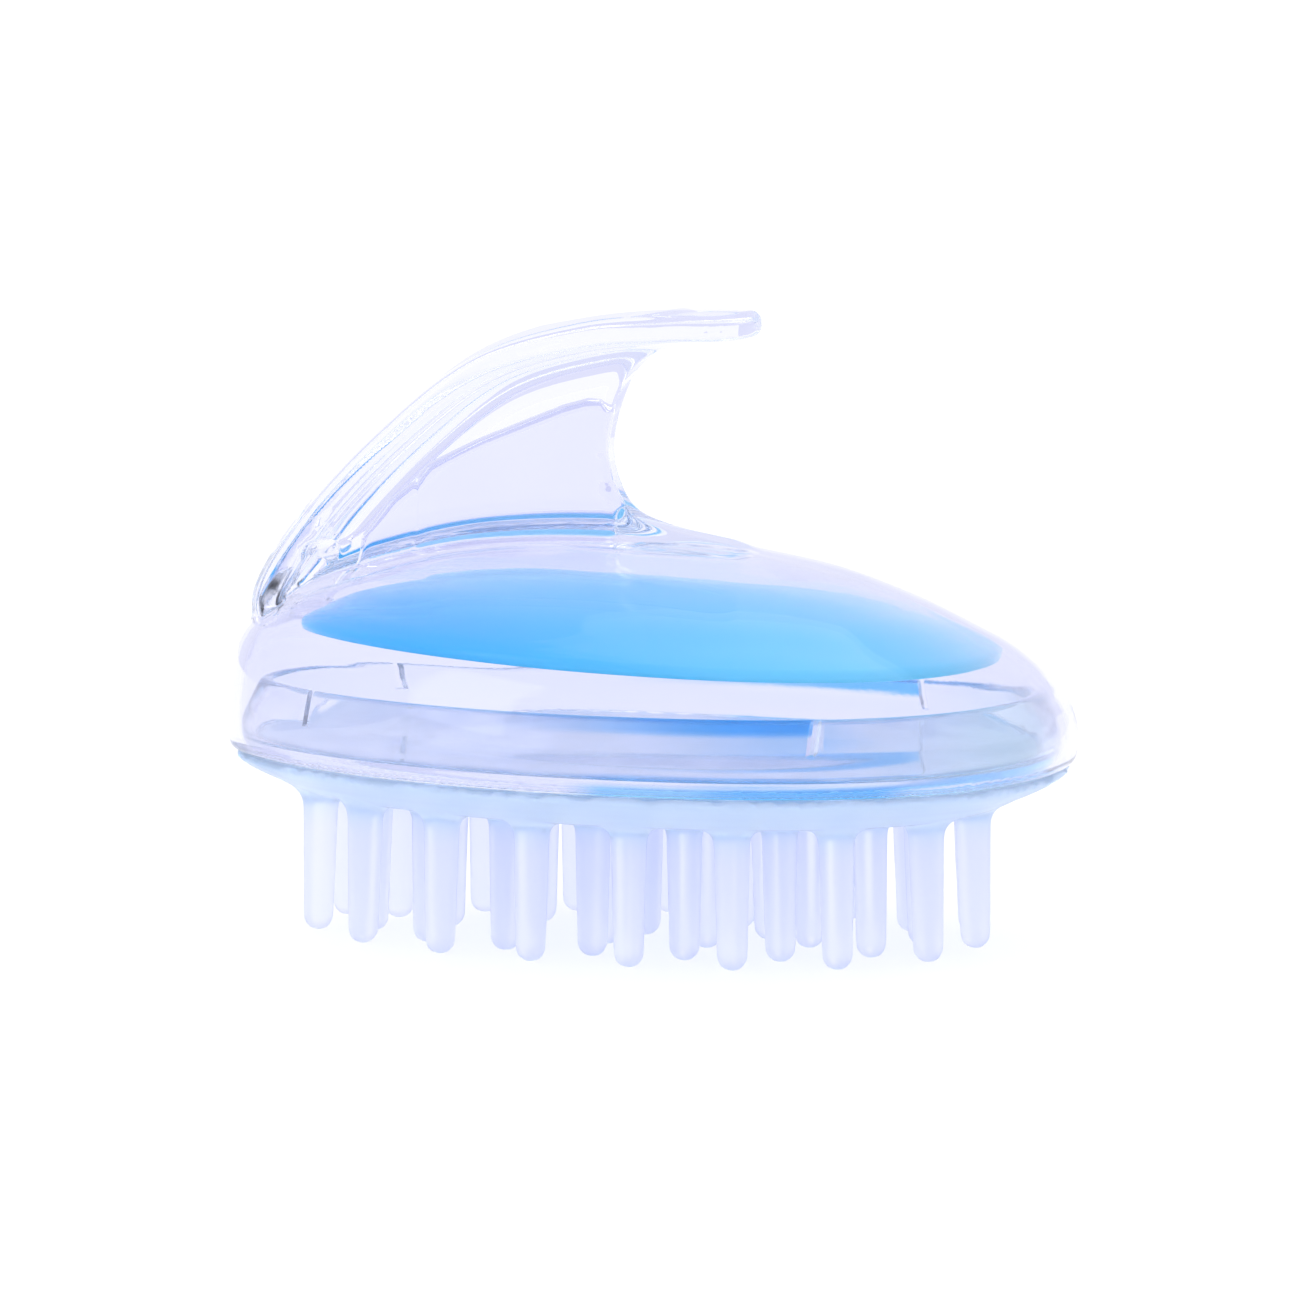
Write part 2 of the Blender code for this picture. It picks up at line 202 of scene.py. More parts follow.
def along_line(x, z, line):
    """Nearest place on a smooth 2D line: its length along, the offset to its left side, its slope.

    The line is given in short straight pieces, and bow puts back the curve between their ends.
    """
    steps = np.diff(line, axis=0)
    bend = np.gradient(np.unwrap(np.arctan2(steps[:, 1], steps[:, 0]))) / np.hypot(*steps.T)
    shape = np.broadcast(x, z).shape
    best = np.full(shape, np.inf)
    length, offset, slope = np.zeros(shape), np.zeros(shape), np.zeros(shape)
    run = 0.0
    for i in range(len(line) - 1):
        ax, az = line[i]
        dx, dz = line[i + 1] - line[i]
        size = math.hypot(dx, dz)
        dx, dz = dx / size, dz / size
        t = (x - ax) * dx + (z - az) * dz
        side = dx * (z - az) - dz * (x - ax)
        over = np.maximum(np.maximum(-t, t - size), 0)
        gap = side**2 + over**2
        near = gap < best
        inner = np.clip(t, 0, size)
        bow = bend[i] * inner * (size - inner) / 2
        low = -np.inf if i == 0 else 0.0
        high = np.inf if i == len(line) - 2 else size
        best = np.where(near, gap, best)
        length = np.where(near, run + np.clip(t, low, high), length)
        offset = np.where(near, np.copysign(np.sqrt(gap), side) + bow, offset)
        slope = np.where(near, dz + bend[i] * (inner - size / 2) * dx, slope)
        run += size
    return length, offset, slope


def polygon_distance(x, z, polygon):
    """Signed distance to a closed 2D polygon, negative inside."""
    shape = np.broadcast(x, z).shape
    best = np.full(shape, np.inf)
    inside = np.zeros(shape, bool)
    for (ax, az), (bx, bz) in zip(polygon, np.roll(polygon, -1, axis=0)):
        dx, dz = bx - ax, bz - az
        size = dx * dx + dz * dz
        if size < 1e-12:
            continue
        t = np.clip(((x - ax) * dx + (z - az) * dz) / size, 0, 1)
        best = np.minimum(best, (x - ax - t * dx) ** 2 + (z - az - t * dz) ** 2)
        if az != bz:
            crosses = ((az > z) != (bz > z)) & (x < ax + (z - az) / (bz - az) * dx)
            inside = inside ^ crosses
    return np.where(inside, -np.sqrt(best), np.sqrt(best))


# --- signed fields ---------------------------------------------------------------------------


def join(a, b, radius):
    """Union of two fields with a fillet."""
    h = np.clip(0.5 + 0.5 * (b - a) / radius, 0, 1)
    return b + (a - b) * h - radius * h * (1 - h)


def cut(a, b, radius):
    """Field a without what lies inside field b, with a rounded edge."""
    return -join(-a, b, radius)


def thick(plan, height, half, rounding):
    """A flat form: plan is its outline's field, height the distance from its middle plane."""
    a = plan + rounding
    b = np.abs(height) - half + rounding
    return np.hypot(np.maximum(a, 0), np.maximum(b, 0)) + np.minimum(np.maximum(a, b), 0) - rounding


def surface_net(values, low, step):
    """Vertices and quads of the surface where a field sampled on a grid is zero."""
    inside = values < 0
    cells = tuple(n - 1 for n in values.shape)
    corners = [(i, j, k) for i in (0, 1) for j in (0, 1) for k in (0, 1)]

    def corner(array, c):
        return array[c[0] : c[0] + cells[0], c[1] : c[1] + cells[1], c[2] : c[2] + cells[2]]

    count = sum(corner(inside, c).astype(np.int8) for c in corners)
    active = (count > 0) & (count < 8)
    index = np.full(cells, -1)
    index[active] = np.arange(active.sum())
    at = np.argwhere(active)
    total = np.zeros((len(at), 3))
    crossings = np.zeros(len(at))
    for a in corners:
        for axis in range(3):
            if a[axis]:
                continue
            b = tuple(1 if n == axis else a[n] for n in range(3))
            va, vb = corner(values, a)[active], corner(values, b)[active]
            hit = (va < 0) != (vb < 0)
            place = np.tile(np.array(a, float), (len(at), 1))
            place[:, axis] = va / np.where(hit, va - vb, 1)
            total += np.where(hit[:, None], place, 0)
            crossings += hit
    points = (at + total / crossings[:, None]) * step + low
    faces = []
    for axis in range(3):
        u, v = (axis + 1) % 3, (axis + 2) % 3
        ahead = np.take(inside, range(1, inside.shape[axis]), axis)
        behind = np.take(inside, range(inside.shape[axis] - 1), axis)
        edges = np.argwhere(ahead != behind)
        whole = (edges[:, u] > 0) & (edges[:, v] > 0) & (edges[:, u] < cells[u]) & (edges[:, v] < cells[v])
        edges = edges[whole]
        flips = behind[tuple(edges.T)]
        quad = []
        for du, dv in ((1, 1), (0, 1), (0, 0), (1, 0)):
            cell = edges.copy()
            cell[:, u] -= du
            cell[:, v] -= dv
            quad.append(index[tuple(cell.T)])
        quad = np.stack(quad, axis=1)
        quad[~flips] = quad[~flips][:, ::-1]
        faces.append(quad)
    return points, np.vstack(faces)


def settle(points, field, rounds=3):
    """Move points onto the surface where the field is zero."""
    e = 0.02
    for _ in range(rounds):
        x, y, z = points.T
        value = field(x, y, z)
        slope = np.stack(
            [
                (field(x + e, y, z) - value) / e,
                (field(x, y + e, z) - value) / e,
                (field(x, y, z + e) - value) / e,
            ],
            axis=1,
        )
        size = np.maximum((slope**2).sum(axis=1), 0.05)
        points = points - np.clip(value / size, -0.3, 0.3)[:, None] * slope
    return points


def even_out(points, faces, field, rounds=4):
    """Space the points more evenly over the surface, so that clear plastic ripples less."""
    ends = np.concatenate([faces[:, [k, (k + 1) % 4]] for k in range(4)])
    count = np.bincount(ends.ravel(), minlength=len(points))
    for _ in range(rounds):
        middle = np.empty_like(points)
        for axis in range(3):
            values = points[:, axis]
            total = np.bincount(ends[:, 0], values[ends[:, 1]], len(points))
            total += np.bincount(ends[:, 1], values[ends[:, 0]], len(points))
            middle[:, axis] = total / count
        points = settle(0.4 * points + 0.6 * middle, field, 1)
    return points


def split_quads(points, faces):
    """Every quad as four smaller ones."""
    ends = np.concatenate([faces[:, [k, (k + 1) % 4]] for k in range(4)])
    edges, which = np.unique(np.sort(ends, axis=1), axis=0, return_inverse=True)
    side = len(points) + which.reshape(4, len(faces))
    centre = len(points) + len(edges) + np.arange(len(faces))
    parts = [np.stack([faces[:, k], side[k], centre, side[k - 1]], axis=1) for k in range(4)]
    return np.vstack([points, points[edges].mean(axis=1), points[faces].mean(axis=1)]), np.vstack(parts)


def field_mesh(name, field, low, high, step, on_grid=None, finer=False):
    """A closed smooth mesh around the inside of a field; finer halves the spacing of its points."""
    axes = [np.arange(a, b + step, step) for a, b in zip(low, high)]
    x, y, z = axes[0][:, None, None], axes[1][None, :, None], axes[2][None, None, :]
    values = (on_grid or field)(x, y, z)
    points, faces = surface_net(np.ascontiguousarray(values), np.array(low, float), step)
    points = even_out(settle(points, field), faces, field)
    if finer:
        points, faces = split_quads(points, faces)
        points = settle(points, field, 2)
    return mesh_object(name, points, faces.tolist())


# --- mesh helpers ----------------------------------------------------------------------------


def add_object(name, data):
    obj = bpy.data.objects.new(name, data)
    bpy.context.scene.collection.objects.link(obj)
    return obj


def mesh_object(name, points, faces):
    """A new smooth object from points in mm and lists of corners."""
    mesh = bpy.data.meshes.new(name)
    mesh.from_pydata((np.asarray(points) * MM).tolist(), [], faces)
    mesh.update()
    mesh.shade_smooth()
    return add_object(name, mesh)


def turned(name, profile, place, steps, rise=0.0):
    """A profile of (radius, z) turned about Z, closed at radius 0; place(radius, angles) is its plan."""
    angles = np.arange(steps) / steps * 2 * math.pi
    points, rows = [], []
    for r, z in profile:
        start = len(points)
        if r < 1e-6:
            points.append((0.0, 0.0, z))
            rows.append([start] * steps)
        else:
            plan = place(r, angles)
            height = z + rear_rise(plan[:, 0], z, rise)
            points += list(zip(plan[:, 0], plan[:, 1], height))
            rows.append(list(range(start, start + steps)))
    faces = []
    for upper, lower in zip(rows, rows[1:]):
        for i in range(steps):
            j = (i + 1) % steps
            face = [upper[i], lower[i], lower[j], upper[j]]
            faces.append([p for n, p in enumerate(face) if p not in face[:n]])
    return mesh_object(name, points, faces)


def rounded(rows, radius, steps=3):
    """A 2D path with its corners rounded; rows are (r, z) or (r, z, own radius)."""
    points = [np.array(row[:2], float) for row in rows]
    sizes = [row[2] if len(row) > 2 else radius for row in rows]
    path = [points[0]]
    for before, corner, after, size in zip(points, points[1:], points[2:], sizes[1:]):
        a, b = before - corner, after - corner
        reach = min(size, 0.45 * np.linalg.norm(a), 0.45 * np.linalg.norm(b))
        start = corner + a / np.linalg.norm(a) * reach
        end = corner + b / np.linalg.norm(b) * reach
        for k in range(steps + 1):
            t = k / steps
            path.append((1 - t) ** 2 * start + 2 * t * (1 - t) * corner + t * t * end)
    path.append(points[-1])
    return [tuple(p) for p in path]


def cut_out(obj, cutter):
    """Take the cutter's form out of an object, and delete the cutter."""
    modifier = obj.modifiers.new("cut", "BOOLEAN")
    modifier.operation = "DIFFERENCE"
    modifier.solver = "EXACT"
    modifier.object = cutter
    graph = bpy.context.evaluated_depsgraph_get()
    result = bpy.data.meshes.new_from_object(obj.evaluated_get(graph))
    obj.modifiers.clear()
    old, obj.data = obj.data, result
    bpy.data.meshes.remove(old)
    bpy.data.objects.remove(cutter, do_unlink=True)


def crease(obj, degrees):
    """Sharp edges where faces meet at more than this angle, and smooth shading elsewhere."""
    obj.data.shade_smooth()
    obj.data.set_sharp_from_angle(angle=math.radians(degrees))


def subdivide(obj):
    modifier = obj.modifiers.new("smooth", "SUBSURF")
    modifier.levels = 1
    modifier.render_levels = 1


# --- top shell -------------------------------------------------------------------------------

SHELL_LINE = smooth_path(
    [
        (0, 44.2),
        (7, 43.95),
        (14, 43.3),
        (22, 41.9),
        (30, 39.4),
        (36, 36.9),
        (40.3, 34.9),
        (43.4, 32.8),
        (45.4, 30.6),
        (46.6, 28.2),
        (47.2, 25.6),
        (47.5, 23.0),
        (47.4, 21.3),
        (47.0, 20.0),
    ],
    208,
)
SHELL_LINE = np.vstack([SHELL_LINE, [47.0, 10.0]])
HANDLE_LINE = smooth_path(
    [
        (-42.5, 31.4),
        (-43.2, 37.6),
        (-37.6, 46.2),
        (-28.4, 55.6),
        (-17.6, 63.9),
        (-6.0, 67.7),
        (4.5, 68.8),
        (12.6, 68.9),
    ],
    156,
)
HANDLE_LENGTH = np.hypot(*np.diff(HANDLE_LINE, axis=0).T).sum()
WEB_FRONT = smooth_path(
    [(2.6, 66.6), (-1.7, 61.8), (-4.1, 53.8), (-2.1, 47.4), (2.5, 44.3), (8.6, 42.2)], 40
)
WEB_OUTLINE = np.vstack([HANDLE_LINE[12:104:3] - [0, 1.2], WEB_FRONT, [(6, 39), (-38, 35)]])
REAR_CORE_OUTLINE = np.array([(-32.4, 36.0), (-32.2, 43.4), (-29.2, 47.6), (-24.0, 51.2), (-22.0, 36.0)])
CORE_OUTLINE = np.array(
    [
        (-26.0, 36.0),
        (-26.0, 50.0),
        (-24.8, 51.6),
        (-18.8, 54.4),
        (-9.2, 58.3),
        (-6.3, 59.1),
        (-4.7, 59.0),
        (-4.3, 58.0),
        (-4.9, 53.4),
        (-4.4, 49.6),
        (-3.0, 47.0),
        (-3.0, 36.0),
    ]
)


def dome_field(x, y, z):
    """Signed distance to the dome's outside, whose skirt goes on down past its edge."""
    e = 0.05
    share = oval_share(x, y)
    across = (oval_share(x + e, y) - share) / e
    up = (oval_share(x, y + e) - share) / e
    stretch = np.hypot(across, up) * HALF_LENGTH
    radius = share * HALF_LENGTH
    height = before_rise(x, z, SHELL_REAR_RISE)
    _, offset, slope = along_line(radius, height, SHELL_LINE)
    return offset / np.sqrt(1 - slope**2 + slope**2 * stretch**2)


def handle_field(x, y, z):
    """The finger plate: a crowned strip along the handle line, with a rounded tip."""
    length, offset, _ = along_line(x, z, HANDLE_LINE)
    share = np.clip(length / HANDLE_LENGTH, 0, 1)
    width = PLATE_FOOT_HALF_WIDTH + (PLATE_TIP_HALF_WIDTH - PLATE_FOOT_HALF_WIDTH) * share**1.4
    a = np.abs(y) - width + PLATE_TIP_ROUND
    b = length - HANDLE_LENGTH + PLATE_TIP_ROUND
    plan = np.hypot(np.maximum(a, 0), np.maximum(b, 0)) + np.minimum(np.maximum(a, b), 0) - PLATE_TIP_ROUND
    plan = np.maximum(plan, -length)
    wrap = np.maximum(0, 1 - share / PLATE_CROWN_FADES) ** 2
    crown = PLATE_CROWN + (PLATE_FOOT_CROWN - PLATE_CROWN) * wrap
    height = offset + PLATE_THICKNESS / 2 + crown * np.minimum(np.abs(y) / width, 1.2) ** 2
    return thick(plan, height, PLATE_THICKNESS / 2, PLATE_EDGE)


def web_field(x, y, z):
    return thick(polygon_distance(x, z, WEB_OUTLINE), y, WEB_THICKNESS / 2, WEB_EDGE)


def core_field(x, y, z):
    """The hollow inside the web: a thicker front part and a thinner rear one."""
    front = thick(polygon_distance(x, z, CORE_OUTLINE), y, CORE_THICKNESS / 2, CORE_EDGE)
    rear = thick(polygon_distance(x, z, REAR_CORE_OUTLINE), y, REAR_CORE_THICKNESS / 2, REAR_CORE_EDGE)
    return np.minimum(front, rear)


def shell_field(x, y, z):
    """The whole moulding: dome, web and finger plate, less its hollow, cord hole and open bottom."""
    dome = dome_field(x, y, z)
    ahead = smooth_step(x, FOOT_FILLET_ENDS, BODY_FILLET_STARTS)
    body = join(web_field(x, y, z), handle_field(x, y, z), WEB_FILLET)
    body = join(dome, body, FOOT_FILLET + (BODY_FILLET - FOOT_FILLET) * ahead)
    hollow = join(dome + WALL, core_field(x, y, z), CORE_FILLET)
    body = cut(body, hollow, HOLLOW_EDGE)
    hole = np.hypot(x - CORD_HOLE[0], z - CORD_HOLE[1]) - CORD_HOLE_RADIUS + 0 * y
    body = cut(body, hole, CORD_HOLE_EDGE)
    return cut(body, z - SKIRT_BOTTOM, SKIRT_EDGE)


def make_top_shell():
    low, high = (-49, -35, 18.6), (49, 35, 71)
    shell = field_mesh("clear_top_shell", shell_field, low, high, SHELL_GRID, finer=True)
    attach(shell, "root")
    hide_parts("top_shell")
    return shell


# --- colour plate ----------------------------------------------------------------------------


def make_colour_plate():
    top = smooth_path(
        [(0, 40.4), (8, 40.15), (16, 39.3), (24, 37.95), (31, 36.1), (35.8, 34.4), (38.3, 33.15)], 48
    )
    under = smooth_path(
        [(38.2, 31.95), (35.3, 33.2), (30.8, 34.8), (24, 36.65), (16, 38), (8, 38.8), (0, 39.05)], 48
    )
    rim = [(38.6, 32.8), (38.65, 32.4), (38.5, 32.0)]
    profile = [tuple(p) for p in top] + rim + [tuple(p) for p in under]
    plate = turned(
        "blue_colour_plate",
        profile,
        lambda r, a: outline(a) * (r / HALF_LENGTH),
        192,
        BLUE_REAR_RISE,
    )
    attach(plate, "root")
    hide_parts("colour_plate")
    return plate


# --- tray ------------------------------------------------------------------------------------


def stepped_in(radius, angles):
    """Round to oval: near the rim the distance to the outline stays the same all round."""
    flat = HALF_LENGTH - 8
    if radius >= flat:
        return outline(angles, HALF_LENGTH - radius)
    return outline(angles, 8) * (radius / flat)


def box(name, size, centre):
    mesh = bpy.data.meshes.new(name)
    bm = bmesh.new()
    bmesh.ops.create_cube(bm, size=1.0)
    for vertex in bm.verts:
        vertex.co = Vector(c * s + m for c, s, m in zip(vertex.co, size, centre)) * MM
    bm.to_mesh(mesh)
    bm.free()
    return add_object(name, mesh)


def make_tray():
    outer = HALF_LENGTH - WALL - CLEARANCE
    inner = outer - TRAY_WALL
    rows = [
        (0, TRAY_FLOOR_TOP),
        (TRAY_FLAT, TRAY_FLOOR_TOP),
        (inner, TRAY_FLOOR_TOP, 0.8),
        (inner, TRAY_WALL_BEND, 1.0),
        (inner - TRAY_WALL_LEAN, TRAY_WALL_TOP, 0.5),
        (outer - TRAY_WALL_LEAN, TRAY_WALL_TOP, 0.5),
        (outer, TRAY_WALL_BEND, 1.0),
        (outer, TRAY_FLOOR_UNDER, 0.4),
        (TRAY_FLAT, TRAY_FLOOR_UNDER),
        (0, TRAY_FLOOR_UNDER),
    ]
    tray = turned("clear_base_tray", rounded(rows, 0.3), stepped_in, 288)
    for x in TONGUE_SLOTS_X:
        for side in (-1, 1):
            power = REAR_POWER if x < 0 else FRONT_POWER
            y = side * HALF_WIDTH * (1 - abs(x / HALF_LENGTH) ** power) ** (1 / power)
            y *= 1 + FRONT_SWELL * x / HALF_LENGTH
            y -= side * (WALL + CLEARANCE + TRAY_WALL_LEAN)
            centre = (x, y, TRAY_WALL_TOP - TONGUE_SLOT[2] / 2 + 0.5)
            cut_out(tray, box("slot_form", TONGUE_SLOT, centre))
    crease(tray, 40)
    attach(tray, "root")
    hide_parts("base_tray")
    return tray


# --- pad and bristles ------------------------------------------------------------------------


def ring_places(count, inset, phase):
    """Points spaced evenly along an oval inside the shell's outline, as square at both ends."""
    fine = outline(np.radians(180 + np.arange(721) / 2), inset, FRONT_POWER)
    lengths = np.concatenate([[0], np.cumsum(np.hypot(*np.diff(fine, axis=0).T))])
    wanted = (np.arange(count) + phase) / count * lengths[-1]
    return [(np.interp(w, lengths, fine[:, 0]), np.interp(w, lengths, fine[:, 1])) for w in wanted]


def bristle_places():
    places = [place for ring in BRISTLE_RINGS for place in ring_places(*ring)]
    middle = (CENTRE_BRISTLES - 1) / 2
    return places + [((k - middle) * CENTRE_PITCH, 0.0) for k in range(CENTRE_BRISTLES)]


PAD_SECTION = np.array(
    [
        (PAD_FLAT, PAD_TOP),
        (PAD_RIM_INNER, PAD_TOP),
        (PAD_RIM_INNER, SKIRT_BOTTOM - CLEARANCE),
        (PAD_RIM_OUTER, SKIRT_BOTTOM - CLEARANCE),
        (46.8, 19.4),
        (46.2, 18.8),
        (45.1, 18.1),
        (43.6, 17.4),
        (42.2, 16.8),
        (41.0, 16.2),
        (39.6, 15.6),
        (37.8, PAD_UNDER),
        (PAD_FLAT, PAD_UNDER),
    ]
)


def bristle_field(x, y, z, place):
    """One tapered bristle with a round tip, leaning a little outwards."""
    top = PAD_UNDER + 1.2
    tip = BRISTLE_TIP_RADIUS
    grown = BRISTLE_ROOT_RADIUS - BRISTLE_TIP_RADIUS
    lean_x = place[0] / HALF_LENGTH * BRISTLE_SPLAY
    lean_y = place[1] / HALF_WIDTH * BRISTLE_SPLAY
    level = np.clip(z, tip, top)
    share = 1 - level / PAD_UNDER
    radius = BRISTLE_ROOT_RADIUS - grown * (top - level) / (top - tip)
    across = np.hypot(x - place[0] - lean_x * share, y - place[1] - lean_y * share)
    return np.hypot(across, z - level) - radius


def pad_body_field(x, y, z):
    radius = HALF_LENGTH - oval_inset(x, y)
    return polygon_distance(np.maximum(radius, 34) + 0 * z, z + 0 * radius, PAD_SECTION)


def pad_field(x, y, z):
    """The pad with its bristles, for a list of points."""
    value = pad_body_field(x, y, z)
    for place in bristle_places():
        near = (np.abs(x - place[0]) < BRISTLE_REACH) & (np.abs(y - place[1]) < BRISTLE_REACH)
        form = bristle_field(x[near], y[near], z[near], place)
        value[near] = join(value[near], form, BRISTLE_FILLET)
    return value


def pad_grid(x, y, z):
    """The same pad on the axes of a grid."""
    value = pad_body_field(x, y, z)
    for place in bristle_places():
        i = np.flatnonzero(np.abs(x[:, 0, 0] - place[0]) < BRISTLE_REACH)
        j = np.flatnonzero(np.abs(y[0, :, 0] - place[1]) < BRISTLE_REACH)
        part = np.s_[i[0] : i[-1] + 1, j[0] : j[-1] + 1, :]
        form = bristle_field(x[i[0] : i[-1] + 1], y[:, j[0] : j[-1] + 1], z, place)
        value[part] = join(value[part], form, BRISTLE_FILLET)
    return value


def make_pad():
    low, high = (-48, -34.2, -0.7), (48, 34.2, 20.5)
    pad = field_mesh("soft_bristle_pad", pad_field, low, high, PAD_GRID, pad_grid)
    subdivide(pad)
    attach(pad, "root")
    nodes = [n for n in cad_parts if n.startswith("bristle_")]
    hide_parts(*nodes)
    return pad


# --- materials -------------------------------------------------------------------------------


class Shading:
    """A node material that is built up call by call."""

    def __init__(self, name):
        self.material = bpy.data.materials.new(name)
        self.material.use_nodes = True
        self.tree = self.material.node_tree
        self.shader = self.tree.nodes["Principled BSDF"]
        self.place = self.node("ShaderNodeTexCoord").outputs["Object"]

    def node(self, kind, **settings):
        node = self.tree.nodes.new(kind)
        for key, value in settings.items():
            setattr(node, key, value)
        return node

    def link(self, source, target):
        self.tree.links.new(source, target)

    def set(self, **values):
        for key, value in values.items():
            self.shader.inputs[key.replace("_", " ")].default_value = value

    def axis(self, name):
        split = self.node("ShaderNodeSeparateXYZ")
        self.link(self.place, split.inputs[0])
        return split.outputs[name]

    def noise(self, scale, detail=2.0):
        noise = self.node("ShaderNodeTexNoise")
        noise.inputs["Scale"].default_value = scale
        noise.inputs["Detail"].default_value = detail
        self.link(self.place, noise.inputs["Vector"])
        return noise.outputs["Fac"]

    def spread(self, value, low, high, to_low=0.0, to_high=1.0):
        node = self.node("ShaderNodeMapRange", interpolation_type="SMOOTHSTEP")
        self.link(value, node.inputs["Value"])
        ends = {"From Min": low, "From Max": high, "To Min": to_low, "To Max": to_high}
        for key, number in ends.items():
            node.inputs[key].default_value = number
        return node.outputs["Result"]

    def math(self, operation, a, b):
        node = self.node("ShaderNodeMath", operation=operation)
        for socket, value in zip(node.inputs, (a, b)):
            if isinstance(value, (int, float)):
                socket.default_value = value
            else:
                self.link(value, socket)
        return node.outputs[0]

    def mix(self, share, a, b):
        node = self.node("ShaderNodeMix", data_type="RGBA")
        colours = [s for s in node.inputs if s.type == "RGBA"]
        self.link(share, node.inputs[0])
        for socket, value in zip(colours, (a, b)):
            if isinstance(value, tuple):
                socket.default_value = (*value, 1.0)
            else:
                self.link(value, socket)
        return next(s for s in node.outputs if s.type == "RGBA")

    def colour(self, value):
        self.link(value, self.shader.inputs["Base Color"])

    def bump(self, height, strength, distance):
        node = self.node("ShaderNodeBump")
        node.inputs["Strength"].default_value = strength
        node.inputs["Distance"].default_value = distance
        self.link(height, node.inputs["Height"])
        self.link(node.outputs["Normal"], self.shader.inputs["Normal"])


def clear_material():
    m = Shading("clear_polystyrene")
    m.set(Roughness=0.03, IOR=1.34, Transmission_Weight=1.0)
    m.colour(m.mix(m.noise(60), (0.84, 0.85, 0.97), (0.88, 0.885, 0.98)))
    m.bump(m.noise(90), 0.1, 0.0002)
    return m.material


def tray_material():
    """Clear, faintly green at the front; its top rim and lower corner carry a painted reflection of the
    blue plate above them.
    """
    m = Shading("clear_tray_plastic")
    m.set(Roughness=0.05, IOR=1.34, Transmission_Weight=1.0)
    x, z = m.axis("X"), m.axis("Z")
    side = m.spread(m.math("ABSOLUTE", m.axis("Y"), 0.0), 0.023, 0.026)
    clear = m.mix(m.noise(60), (0.975, 0.985, 1.0), (0.99, 0.995, 1.0))
    clear = m.mix(m.spread(x, 0.026, 0.044), clear, (0.92, 1.0, 0.97))
    # painted reflection of the blue plate along the top rim of the tray's sides
    rim = m.math("MULTIPLY", m.spread(z, 0.0258, 0.0264), side)
    rim = m.math("MULTIPLY", rim, m.spread(x, -0.012, 0.018))
    rim = m.math("MULTIPLY", rim, m.spread(x, 0.0252, 0.0256, 1.0, 0.0))
    # painted reflection of the blue plate along the lower corner of the tray's sides
    foot_reflection = m.math("MULTIPLY", m.spread(z, 0.0206, 0.0214, 1.0, 0.0), side)
    foot_reflection = m.math("MULTIPLY", foot_reflection, m.spread(x, -0.002, 0.004))
    foot_reflection = m.math("MULTIPLY", foot_reflection, m.spread(x, 0.034, 0.038, 1.0, 0.0))
    # both painted reflections take the plate's blue
    m.colour(m.mix(m.math("MAXIMUM", rim, foot_reflection), clear, (0.15, 0.58, 1.0)))
    m.bump(m.noise(70), 0.1, 0.0002)
    return m.material


def blue_material():
    """Deeper towards the rear and the rim, paler at the front and the top: painted shade towards the rear
    and a painted sheen at the top; it also glows a little as painted light.
    """
    m = Shading("blue_plastic")
    m.set(Roughness=0.15, IOR=1.4, Transmission_Weight=0.2)
    # painted glow: the plate gives off light, standing in for light reaching it through the clear dome
    m.set(Emission_Strength=0.22, Emission_Color=(0.05, 0.6, 1, 1))
    # painted shade: a deeper blue towards the rear, paler towards the front
    along = m.mix(m.spread(m.axis("X"), -0.030, 0.03), (0.0, 0.62, 1.0), (0.22, 0.9, 1.0))
    # painted sheen: paler towards the top
    m.colour(m.mix(m.spread(m.axis("Z"), 0.034, 0.0405), along, (0.5, 0.93, 1.0)))
    return m.material


def soft_material():
    m = Shading("milky_elastomer")
    m.set(Roughness=0.3, IOR=1.3, Transmission_Weight=0.72)
    # painted glow: the pad gives off a little light, standing in for light scattered inside the milky
    # elastomer
    m.set(Emission_Strength=0.08, Emission_Color=(0.7, 0.8, 1, 1))
    tint = m.mix(m.noise(80), (0.84, 0.85, 0.99), (0.88, 0.885, 1.0))
    m.colour(m.mix(m.spread(m.axis("Z"), 0.011, 0.018), tint, (0.72, 0.85, 1.0)))
    return m.material


# --- set -------------------------------------------------------------------------------------


def stage_plane(name, corners, material):
    """One pale plane of the set, from corners in metres."""
    mesh = bpy.data.meshes.new(name)
    mesh.from_pydata(corners, [], [(0, 1, 2, 3)])
    mesh.materials.append(material)
    add_object(name, mesh)


def glowing_white(name, roughness, strength, low, high):
    """Plain white that gives off some light; low and high bound its slight variation of grey."""
    m = Shading(name)
    m.set(Roughness=roughness, Emission_Strength=strength, Emission_Color=(1, 1, 1, 1))
    m.colour(m.mix(m.noise(4), (low,) * 3, (high,) * 3))
    return m.material


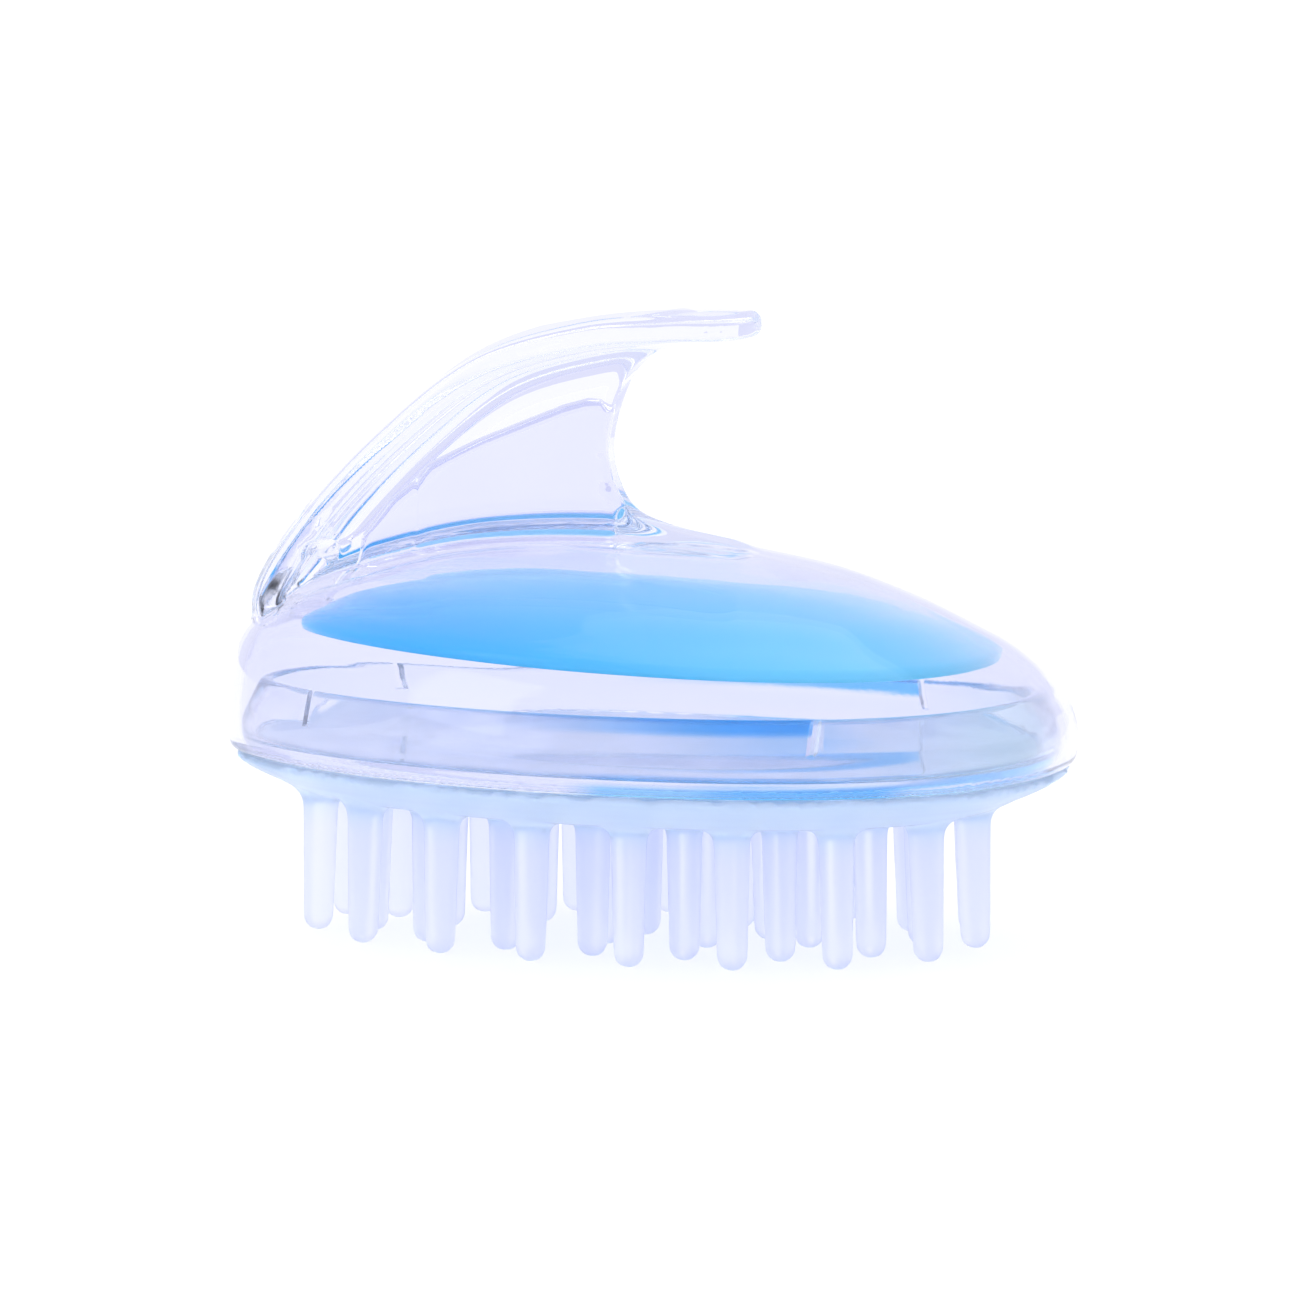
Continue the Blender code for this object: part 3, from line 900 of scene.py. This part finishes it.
def make_floor():
    size = 3.0
    corners = [(-size, -size, 0), (size, -size, 0), (size, size, 0), (-size, size, 0)]
    stage_plane("floor", corners, glowing_white("pale_floor", 0.8, 0.7, 0.38, 0.4))


def make_backdrop():
    corners = [(-0.6, 0.8, 0), (0.2, 0.8, 0), (0.2, 0.8, 0.15), (-0.6, 0.8, 0.15)]
    stage_plane("backdrop", corners, glowing_white("white_backdrop", 0.9, 0.88, 0.2, 0.22))


def make_world():
    world = bpy.data.worlds.new("studio")
    bpy.context.scene.world = world
    world.use_nodes = True
    background = world.node_tree.nodes["Background"]
    background.inputs["Color"].default_value = (0.86, 0.87, 1.0, 1.0)
    background.inputs["Strength"].default_value = 1.0


def soft_light(name, location, size, power):
    light = bpy.data.lights.new(name, "AREA")
    light.shape = "RECTANGLE"
    light.size, light.size_y = size
    light.energy = power
    obj = add_object(name, light)
    obj.location = location
    towards_light = Vector(location) - LIGHT_AIM
    obj.rotation_euler = towards_light.to_track_quat("Z", "Y").to_euler()


def make_camera():
    azimuth, elevation = math.radians(CAMERA_AZIMUTH), math.radians(CAMERA_ELEVATION)
    level = math.cos(elevation)
    back = Vector((math.sin(azimuth) * level, -math.cos(azimuth) * level, math.sin(elevation)))
    camera = bpy.data.cameras.new("camera")
    camera.sensor_width = 36
    camera.lens = CAMERA_LENS
    obj = add_object("camera", camera)
    obj.location = CAMERA_AIM + back * CAMERA_DISTANCE
    obj.rotation_euler = back.to_track_quat("Z", "Y").to_euler()
    bpy.context.scene.camera = obj


def dress(obj, material):
    obj.data.materials.clear()
    obj.data.materials.append(material)


make_camera()
make_floor()
make_backdrop()
make_world()
soft_light("top_light", (0.1, 0.1, 0.7), (0.6, 0.6), 0.6)
soft_light("left_light", (-0.6, -0.5, 0.35), (0.3, 0.6), 0.8)
bpy.context.scene.view_settings.view_transform = "Standard"
bpy.context.scene.cycles.max_bounces = LIGHT_BOUNCES
bpy.context.scene.cycles.transmission_bounces = LIGHT_BOUNCES
bpy.context.scene.cycles.glossy_bounces = LIGHT_BOUNCES

dress(make_top_shell(), clear_material())
dress(make_colour_plate(), blue_material())
dress(make_tray(), tray_material())
dress(make_pad(), soft_material())
